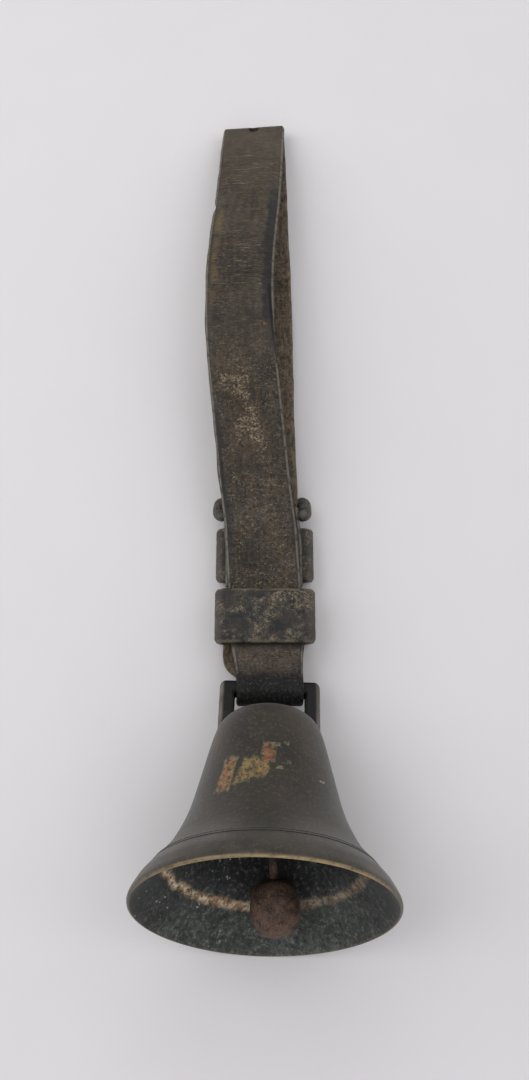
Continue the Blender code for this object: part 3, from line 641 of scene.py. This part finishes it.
# ---------------------------------------------------------------- bell


# The outside of the bell as (height, radius) in mm: from the lip's roll to the cut lines, and on to the crown
FLARE = [(2.8, 44.4), (6.5, 42.4), (9.7, 39.9)]
WAIST = [(14.8, 35.7), (18.2, 33.2), (22.1, 31.1), (27.5, 28.7), (33.3, 26.7), (46.2, 23.6)]
SHOULDER = [(55.0, 21.7), (61.5, 20.1), (65.6, 18.6), (68.0, 16.8), (69.5, 14.4), (70.0, 12.0)]


def per_millimetre(length):
    """A row a millimetre, and at least three."""
    return max(3, int(length))


def fine_outside():
    """The turned outside: a rounded lip, an eased flare, two cut lines and a smooth waist."""
    lip = [(0.0, 44.2), (0.05, 44.5), (0.18, 44.75), (0.5, 44.95), (1.0, 45.0), (1.7, 44.85)]
    lower = spline_through(FLARE + [(10.2, 39.5)], lambda length: 8)
    lines = [(10.35, 39.3), (10.5, 39.15), (10.65, 39.3), (11.1, 38.95)]
    lines += [(11.4, 38.6), (11.55, 38.45), (11.75, 38.5)]
    upper = spline_through([(12.1, 38.1)] + WAIST + SHOULDER, per_millimetre)
    crown = [(70.0, 8.0), (70.0, 4.0), (70.0, 2.0)]
    return lip + [tuple(p) for p in lower] + lines + [tuple(p) for p in upper] + crown


def fine_inside():
    """The inside: a wall that thins to the lip, then the outside's curve set in by the wall."""
    line = FLARE + WAIST + SHOULDER[:3]
    inset = []
    for before, here, after in zip(line, line[1:], line[2:]):
        slope = Vector((after[0] - before[0], after[1] - before[1])).normalized()
        inset.append((here[0] + slope.y * BELL_WALL, here[1] - slope.x * BELL_WALL))
    lip = [(0.3, 43.75), (0.8, 43.35), (1.8, 42.7), (3.0, 41.9)]
    crown = [(64.0, 14.5), (66.4, 10.5), (66.8, 7.0)]
    curve = spline_through([lip[-1]] + inset + crown, per_millimetre)
    return lip[:-1] + [tuple(p) for p in curve] + [(66.8, 4.0), (66.8, 2.0)]


def build_bell():
    """The profile turned round the bell's axis, with faint dents and a small hole through the crown."""
    outside = fine_outside()
    lip = [(0.0, 44.1), (0.05, 43.95), (0.15, 43.85)]
    profile = list(reversed(outside)) + lip + fine_inside()
    rows = []
    marks = {"inside": [], "lip": [], "radius": []}
    for k, (h, r) in enumerate(profile):
        within = k >= len(outside) + 1
        at_lip = max(0.0, 1 - abs(h - 0.1) / 0.75) if r > 42 else 0.0
        row = []
        for j in range(BELL_STEPS):
            angle = math.tau * j / BELL_STEPS
            dent = 0.12 * noise.noise(Vector((2 * math.cos(angle), 2 * math.sin(angle), h * 0.06)))
            row.append(((r + dent) * math.cos(angle) * MM, (r + dent) * math.sin(angle) * MM, h * MM))
        rows.append(row)
        marks["inside"].append([float(within)] * BELL_STEPS)
        marks["lip"].append([at_lip] * BELL_STEPS)
        marks["radius"].append([r * MM] * BELL_STEPS)
    mesh = grid_mesh("bell_body", rows, attributes=marks)
    mesh.set_sharp_from_angle(angle=SHARP_EDGE)
    add_piece("bell_body_turned", mesh, bell_bronze(), "bell", "bell_body", BELL)


def build_ball(material):
    """The clapper's ball: a barrel with hammered, pitted sides."""
    lowest, highest = (Vector(corner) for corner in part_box("clapper_ball"))
    centre = (lowest + highest) / 2
    up = (Vector(JOINTS["clapper_swing"]["pos_m"]) - centre).normalized()
    turn = up.to_track_quat("Z", "X").to_matrix().to_4x4()
    rows = []
    bands = 72
    steps = 96
    for k in range(bands + 1):
        angle = math.radians(86 - 175.5 * k / bands)
        fuller = BALL_SHOULDER if angle > 0 else BALL_FOOT
        radius = BALL_RADIUS * math.cos(angle) ** fuller
        height = BALL_HALF_LENGTH * math.sin(angle)
        row = []
        for j in range(steps):
            side = math.tau * j / steps
            point = Vector((radius * math.cos(side), radius * math.sin(side), height))
            lump = noise.fractal(point * 190, 1.0, 2.0, 3) * 0.09 + noise.noise(point * 900) * 0.05
            row.append(point * (0.988 + lump * 0.14))
        rows.append(row)
    mesh = grid_mesh("clapper_ball", rows, ring=False)
    place = Matrix.Translation(centre) @ turn
    add_piece("clapper_ball_pitted", mesh, material, "clapper", "clapper_ball", place)


# ---------------------------------------------------------------- leather


def arc(centre, radius, first, last, steps=8):
    """Points (y, z) round a centre, in millimetres and degrees, 0 along +Y and 90 up."""
    turns = [math.radians(first + (last - first) * k / steps) for k in range(steps + 1)]
    return [(centre[0] + radius * math.cos(a), centre[1] + radius * math.sin(a)) for a in turns]


def strap_route():
    """The strap's middle line as (y, z, x, half width, thickness share), in millimetres.

    It starts at the chape's turned-in end, folds round the buckle's heel bar, goes under the stack to the
    bell, round the crossbar, up the front, over the top fold and back to the billet's point."""
    half = STRAP_HALF
    rows = [(y, 11.9, -0.3, 15.2, SKIVED) for y in (116.5, 123, 132)]
    rows.append((140, 11.95, -0.6, 14.9, SKIVED))
    rows += [(y, z, -0.9, half, SKIVED) for y, z in arc(CHAPE_HEEL, 2.45, 90, -90)]
    rows += [(142, 7.35, -0.9, half, 0.9), (138, 7.3, -0.8, half, 1), (128, 7.3, -0.6, half, 1)]
    rows += [(116, 7.3, -0.2, 14.2, 1), (104, 7.3, 0.4, 14.0, 1)]
    rows += [(93, 7.1, 1.2, 13.6, 1), (84, 6.5, 1.8, 13.0, 1)]
    bar_y = (CROSSBAR_HEIGHT * math.cos(REST_ANGLE) - STRAP_START) / MM
    bar_z = (LIP_Z - CROSSBAR_HEIGHT * math.sin(REST_ANGLE)) / MM
    rows += [(y, z, 2.1, 12.7, 1) for y, z in arc((bar_y, bar_z), BIGHT_RADIUS, 270, 90, 12)]
    rows += [(80.2, 14.6, 2.0, 12.7, 1), (84, 13.3, 1.8, 12.9, 1), (88, 12.7, 1.45, 13.3, 1)]
    front = ((96, 12.6, 1.15), (104, 12.6, 0.8), (111, 12.7, 0.4), (115, 13.5, 0.1), (120, 15.3, -0.3))
    front += ((130, 15.6, -1.0), (140, 15.9, -1.6), (148, 16.4, -2.6), (158.6, 18.2, -4.0), (175, 22, -5.7))
    front += ((190.5, 25.2, -7.3), (220.7, 28.4, -10), (249.7, 28.2, -10.3))
    front += ((268, 25.8, -9.2), (286.3, 22.6, -7.6))
    front += ((306, 18.0, -6.4), (321.5, 13.0, -5.7), (330.8, 9.2, -5.4))
    rows += [(y, z, x, half, 1) for y, z, x in front]
    rows += [(y, z, -5.0, half, 1) for y, z in arc((TOP_FOLD - 4.25, 4.25), 3.0, 90, -90)]
    rear = ((321, 1.7, -4.2), (302, 2.3, -3.8), (286, 3.0, -3.5), (268, 3.9, -2.8), (250, 4.6, -2.3))
    rear += ((220, 5.8, -1.9), (190, 7.2, -1.7), (170, 8.4, -1.3), (161, 9.0, -1.0), (156, 8.9, -0.9))
    rear += ((153.3, 7.9, -0.9), (151.1, 6.3, -0.9), (149.0, 4.7, -0.9), (146.3, 3.8, -0.9))
    rear += ((142, 3.6, -0.9), (130, 3.6, -1.0), (116, 3.6, -1.3), (104, 3.6, -1.6), (96, 3.6, -1.8))
    rows += [(y, z, x, half, 1) for y, z, x in rear]
    point = ((90, 1), (86, 0.93), (83, 0.74), (81.2, 0.48), (80.5, 0.22))
    return rows + [(y, 3.6, -2.0, half * share, 1) for y, share in point]


class StrapShape:
    """The strap's middle line, and any point on or in it by row, place across and height."""

    def __init__(self):
        self.rows = spline_through(strap_route(), lambda length: max(1, round(length / 1.1)))
        self.centres = [Vector((r[2] * MM, r[0] * MM + STRAP_Y, r[1] * MM)) for r in self.rows]
        steps = [(b - a).length for a, b in zip(self.centres, self.centres[1:])]
        self.lengths = np.concatenate([[0], np.cumsum(steps)])
        self.normals = []
        for k in range(len(self.rows)):
            along = self.centres[min(k + 1, len(self.rows) - 1)] - self.centres[max(k - 1, 0)]
            self.normals.append(Vector((0, -along.z, along.y)).normalized())

    def row(self, k):
        """The route's five values at a row number, which may fall between two rows."""
        i = min(int(k), len(self.rows) - 2)
        return self.rows[i] * (1 - (k - i)) + self.rows[i + 1] * (k - i)

    def point(self, k, x, height):
        """The place x to the right of the middle line and height above it, slanted near the top fold."""
        i = min(int(k), len(self.rows) - 2)
        slant = FOLD_SLANT * min(1, max(0, (self.row(k)[0] - 290) / 40))
        centre = self.centres[i].lerp(self.centres[i + 1], k - i)
        normal = self.normals[i].lerp(self.normals[i + 1], k - i).normalized()
        return centre + Vector((1, slant, 0)) * x + normal * height

    def length(self, k):
        return float(np.interp(k, range(len(self.lengths)), self.lengths))

    def nearest(self, length):
        return int(np.argmin(abs(self.lengths - length)))


def strap_holes(shape):
    """Removed cells, and where the vertices round each hole go, as {(row, column): (row, x)}."""
    fold = int(np.argmax([c.y for c in shape.centres]))
    tongue = min(range(fold, len(shape.rows)), key=lambda k: abs(shape.rows[k][0] - 149.3))
    pitch = (shape.lengths[tongue] - shape.lengths[fold]) / 6
    removed = set()
    moved = {}
    middle = COLUMNS // 2
    for k in range(8):
        centre = shape.nearest(shape.lengths[fold] + (k * pitch if k else FIRST_HOLE))
        spacing = (shape.lengths[centre + 2] - shape.lengths[centre - 2]) / 4
        for i in range(-2, 3):
            for j in range(-2, 3):
                if max(abs(i), abs(j)) == 2:
                    turn = math.atan2(i, j)
                    row = centre + HOLE_RADIUS * math.sin(turn) / spacing
                    moved[centre + i, middle + j] = (row, HOLE_RADIUS * math.cos(turn))
                if i < 2 and j < 2:
                    removed.add((centre + i, middle + j))
    slot = [k for k in range(fold) if math.dist(shape.rows[k][:2], CHAPE_HEEL) < HEEL_SLOT_REACH]
    for k in slot:
        for j in (-2, 2):
            moved[k, middle + j] = (k, HEEL_SLOT_HALF * j / 2)
        if k != slot[-1]:
            removed |= {(k, middle + j) for j in range(-2, 2)}
    return removed, moved


def wear(shape, k, x, grain):
    """How far the leather stands off its smooth shape: rough everywhere, rippled and curled where free."""
    row = shape.row(k)
    half = row[3] * MM
    share = x / half
    length = shape.length(k)
    rough = 0.05 * MM * noise.fractal(Vector((x * 700, length * 700, grain)), 1.0, 2.0, 3)
    if row[1] < 16.5 or row[0] < 160:
        return rough
    free = min(1.0, (row[0] - 160) / 25) * min(1.0, max(0.0, (334 - row[0]) / 25))
    ripple = 0.55 * MM * noise.noise(Vector((share * 1.3, length * 50, 7.7)))
    curl = 1.5 * MM * max(0.0, abs(share) - 0.6) ** 2 / 0.16
    return rough + free * (ripple - curl)


def edge_shift(shape, k, side):
    """The cut edges aren't quite straight, and the left one is nicked where the strap has creased."""
    behind = shape.row(k)[0]
    shift = 0.3 * MM * noise.noise(Vector((shape.length(k) * 110, side * 5.3, 0)))
    shift -= 3.2 * MM * max(0.0, 1 - (TOP_FOLD - behind) / 3.4) ** 2
    if side < 0 and behind > 230:
        shift -= 0.8 * MM * math.exp(-(((behind - 284.5) / 2.2) ** 2))
    return shift


def build_strap(material):
    """The strap as one closed skin: each row goes over its upper face, round an edge, under and back."""
    shape = StrapShape()
    removed, moved = strap_holes(shape)
    bm = bmesh.new()
    layers = {key: bm.verts.layers.float.new(key) for key in ("run", "across", "grain", "hole")}
    grid = []
    for k, row in enumerate(shape.rows):
        half = row[3] * MM
        thick = STRAP_THICK * row[4] / 2
        easing = 0.8 * thick
        spots = []
        for side in (1, -1):
            for j in range(COLUMNS + 1)[::side]:
                at, x = moved.get((k, j), (k, (half - easing) * (2 * j / COLUMNS - 1)))
                spots.append((at, x, thick * side, side, (k, j) in moved))
            for turn in EDGE_TURNS:
                angle = math.radians(turn)
                x = side * (half - easing + easing * math.cos(angle) + edge_shift(shape, k, side))
                height = side * thick * math.sin(angle)
                spots.append((k, x, height, side * math.sin(angle), False))
        line = []
        for at, x, height, grain, rim in spots:
            lift = wear(shape, at, x, grain)
            vert = bm.verts.new(shape.point(at, x, height + (lift if grain else lift * 0.5)))
            values = (shape.length(at), x / half, grain, float(rim))
            for layer, value in zip(layers.values(), values):
                vert[layer] = value
            line.append(vert)
        grid.append(line)
    close_strap(bm, grid, removed)
    bmesh.ops.delete(bm, geom=[v for v in bm.verts if not v.link_faces], context="VERTS")
    mesh = finished_mesh("strap", bm)
    mesh.set_sharp_from_angle(angle=SHARP_EDGE)
    add_piece("strap_leather_band", mesh, material, "strap", "strap")


def close_strap(bm, grid, removed):
    """Faces round and along the strap, with each hole's rims joined through its thickness."""
    count = len(grid[0])
    below = COLUMNS + 1 + len(EDGE_TURNS) + COLUMNS
    for i, (a, b) in enumerate(zip(grid, grid[1:])):
        for c in range(count):
            d = (c + 1) % count
            cell = c if c < COLUMNS else below - 1 - c
            face = c < COLUMNS or below - COLUMNS <= c < below
            if not (face and (i, cell) in removed):
                bm.faces.new((a[c], a[d], b[d], b[c]))
    for i, j in removed:
        for (i0, j0), (i1, j1), other in (
            ((i, j + 1), (i, j), (i - 1, j)),
            ((i + 1, j), (i + 1, j + 1), (i + 1, j)),
            ((i, j), (i + 1, j), (i, j - 1)),
            ((i + 1, j + 1), (i, j + 1), (i, j + 1)),
        ):
            if other not in removed:
                bm.faces.new((grid[i0][j0], grid[i1][j1], grid[i1][below - j1], grid[i0][below - j0]))
    bm.faces.new(list(reversed(grid[0])))
    bm.faces.new(grid[-1])


def keeper_outline(half, low, high, corner, steps=7):
    """A rounded rectangle in X and Z, as even points."""
    points = []
    for x, z, first in ((half, low, -90), (half, high, 0), (-half, high, 90), (-half, low, 180)):
        cx = x - math.copysign(corner, x)
        cz = z + corner if z == low else z - corner
        for k in range(steps + 1):
            angle = math.radians(first + 90 * k / steps)
            points.append(Vector((cx + corner * math.cos(angle), cz + corner * math.sin(angle))))
    out = []
    for a, b in zip(points, points[1:] + points[:1]):
        count = max(1, round((b - a).length / 1.2))
        out += [a.lerp(b, k / count) for k in range(count)]
    return out


def build_keeper(name, node, body, corner, inner, slant, material):
    """A leather band with soft corners, wavy cut edges and thick sides that hug the strap.

    Its inner face stays outside the two x values of inner, and its bell-ward end leans back by slant."""
    lowest, highest = (Vector(v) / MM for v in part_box(node))
    half = (highest.x - lowest.x) / 2
    middle_x = (highest.x + lowest.x) / 2
    depth = highest.y - lowest.y
    steps = 20
    section = [(k / steps, 1.0) for k in range(steps + 1)] + [(1 - k / steps, 0.0) for k in range(steps + 1)]
    rows = []
    cuts = []
    for point in keeper_outline(half, lowest.z, highest.z, corner):
        square = keeper_normal(point, half, lowest.z, highest.z, corner)
        top = max(0.0, square.y)
        line = []
        cut = []
        for share, out in section:
            edge = min(share, 1 - share) * depth
            eased = 0.55 * max(0.0, 1 - edge / 0.8) ** 2
            at = point - square * (eased if out else KEEPER_THICK - eased)
            if not out:
                at.x = max(inner[0] + eased * 0.5, min(inner[1] - eased * 0.5, at.x))
            rough = 0.1 * noise.fractal(Vector((at.x, share * depth, at.y)) * 0.8, 1.0, 2.0, 4)
            belly = 0.25 * top * noise.noise(Vector((at.x * 0.12, share * 1.6, 3.0)))
            at -= square * (abs(rough) + max(0.0, belly) * out)
            wave = 0.55 * noise.noise(Vector((point.x * 0.13, point.y * 0.2, 9.0 if share < 0.5 else 4.0)))
            inset = (0.3 + abs(wave)) * (1 if share < 0.5 else -1) * max(0.0, 1 - edge / 5) * out
            inset += slant * (1 - share) * max(0.0, highest.z - at.y) / (highest.z - lowest.z)
            line.append(Vector((at.x + middle_x, lowest.y + share * depth + inset, at.y)) * MM)
            cut.append(max(0.0, 1 - edge / 0.9))
        rows.append(line)
        cuts.append(cut)
    mesh = grid_mesh(node, rows, attributes={"cut": cuts})
    add_piece(name, mesh, material, body, node)


def keeper_normal(point, half, low, high, corner):
    """The outward direction of a rounded rectangle at a point on it."""
    cx = max(-half + corner, min(half - corner, point.x))
    cz = max(low + corner, min(high - corner, point.y))
    out = point - Vector((cx, cz))
    return out.normalized() if out.length > 1e-6 else Vector((0, 1))


def build_buckle(material):
    """The buckle's frame: thick pitted cheeks, rounded at their corners, and thin heel and prong bars.

    Each point is (x, share of the way from heel to prong, growth from the bars' radius to the cheeks')."""
    heel = Vector(JOINTS["buckle_frame_swing"]["pos_m"])
    along = Vector(PRONG_FROM_HEEL) * MM
    side = [(14.5, 0, 0), (15.2, -0.04, 0.7), (16.2, -0.1, 1.0)]
    side += [(17.2, 0.02, 1.1), (CHEEK_X - 0.25, 0.3, 1.27)]
    side += [(x, 1 - share, grow) for x, share, grow in reversed(side)]
    outline = side + [(-x, share, grow) for x, share, grow in reversed(side)]
    points = []
    for x, share, grow in outline:
        bar = HEEL_RADIUS + (PRONG_RADIUS - HEEL_RADIUS) * share
        points.append((x, share * along.length / MM, 0, bar + (CHEEK_RADIUS - bar) * grow))
    loop = spline_through(points + points[:1], lambda length: max(3, round(length / 0.7)))[:-1]
    square = Vector((0, -along.z, along.y)).normalized()
    rows = []
    for k, (x, u, _, radius) in enumerate(loop):
        after = loop[(k + 1) % len(loop)]
        before = loop[k - 1]
        way = Vector((after[0] - before[0], after[1] - before[1])).normalized()
        out = Vector((1, 0, 0)) * way.y - along.normalized() * way.x
        centre = Vector((x * MM, 0, 0)) + along.normalized() * u * MM
        row = []
        for j in range(BAR_STEPS):
            angle = math.tau * j / BAR_STEPS
            spoke = out * math.cos(angle) + square * math.sin(angle)
            pit = 0.98 + 0.05 * noise.fractal((centre + spoke * 0.002) * 500, 1.0, 2.0, 3)
            row.append(centre + spoke * radius * MM * pit)
        rows.append(row)
    mesh = grid_mesh("buckle_frame", rows)
    place = Matrix.Translation(heel)
    add_piece("buckle_frame_pitted", mesh, material, "buckle_frame", "buckle_frame", place)


def refinish(node, material):
    """Gives a CAD node that keeps its shape its real material."""
    obj = frame["nodes"][node]
    obj.data.materials.clear()
    obj.data.materials.append(material)


# ---------------------------------------------------------------- stage


def pale_floor():
    """Nearly even pale grey, with faint clouds."""
    m = Material("pale_floor", roughness=0.9, specular=0.2)
    colour = (0.72, 0.703, 0.712, 1)
    brighter = tuple(c * 1.01 for c in colour)
    return m.finish(m.mix(m.between(m.noise(30, 2), 0.3, 0.7), colour, brighter))


def build_stage():
    mesh = bpy.data.meshes.new("floor")
    size = 3.0
    corners = [(-size, -size, 0), (size, -size, 0), (size, size, 0), (-size, size, 0)]
    mesh.from_pydata(corners, [], [(0, 1, 2, 3)])
    floor = bpy.data.objects.new("floor", mesh)
    mesh.materials.append(pale_floor())
    bpy.context.scene.collection.objects.link(floor)


def add_light(name, place, target, size, power):
    """A rectangular softbox of width and depth size, in metres, that faces its target."""
    data = bpy.data.lights.new(name, "AREA")
    data.shape = "RECTANGLE"
    data.size, data.size_y = size
    data.energy = power
    obj = bpy.data.objects.new(name, data)
    obj.location = place
    obj.rotation_euler = (Vector(target) - Vector(place)).to_track_quat("-Z", "Y").to_euler()
    bpy.context.scene.collection.objects.link(obj)


def build_light():
    world = bpy.data.worlds.new("studio")
    world.use_nodes = True
    background = world.node_tree.nodes["Background"]
    background.inputs["Color"].default_value = (0.98, 0.985, 1, 1)
    background.inputs["Strength"].default_value = 0.5
    bpy.context.scene.world = world
    add_light("left_softbox", (-0.8, 0.1, 0.8), (0, 0, 0), (0.9, 1.2), 5.8)
    add_light("right_softbox", (0.85, 0.1, 0.85), (0, 0, 0), (0.9, 1.2), 3.0)
    add_light("far_softbox", (0.0, 1.1, 1.0), (0, 0.05, 0), (1.4, 0.8), 3.4)
    add_light("near_softbox", (0.1, -1.1, 0.9), (0, -0.1, 0), (1.4, 0.8), 2.2)


def build_camera():
    """Looks down and slightly along the object, as one holds a phone over a table."""
    data = bpy.data.cameras.new("camera")
    data.sensor_fit = "VERTICAL"
    data.sensor_height = 36
    data.sensor_width = 36
    data.lens = 33.33
    camera = bpy.data.objects.new("camera", data)
    camera.location = (0, STRAP_Y + 9.4 * MM, 389.2 * MM)
    camera.rotation_euler = (math.radians(18.5), 0, 0)
    bpy.context.scene.collection.objects.link(camera)
    bpy.context.scene.camera = camera


def main():
    build_camera()
    build_stage()
    build_light()
    bpy.context.scene.view_settings.view_transform = "Standard"
    rust = iron("rusty_iron", srgb(56, 41, 34), srgb(104, 82, 70), srgb(150, 122, 104))
    forged = iron("forged_iron", srgb(34, 28, 26), srgb(66, 54, 48), srgb(104, 84, 70))
    pitted = iron("buckle_iron", srgb(48, 45, 42), srgb(98, 93, 87), srgb(146, 140, 131), 0.6, 0.3)
    leather = strap_leather()
    keeper = keeper_leather()
    build_bell()
    build_ball(rust)
    build_strap(leather)
    build_keeper("sliding_keeper_band", "sliding_keeper", "sliding_keeper", 3.6, (-16.9, 16.0), 2.6, keeper)
    build_keeper("fixed_keeper_band", "fixed_keeper", "strap", 3.2, (-16.3, 15.4), 1.8, keeper)
    build_buckle(pitted)
    refinish("crown_loop", loop_bronze())
    refinish("clapper_rod", rust)
    refinish("clapper_staple", forged)
    refinish("staple_washer", forged)
    refinish("staple_nut", forged)
    refinish("buckle_tongue", pitted)
    thread = waxed_thread()
    refinish("chape_thread_left", thread)
    refinish("chape_thread_right", thread)


main()
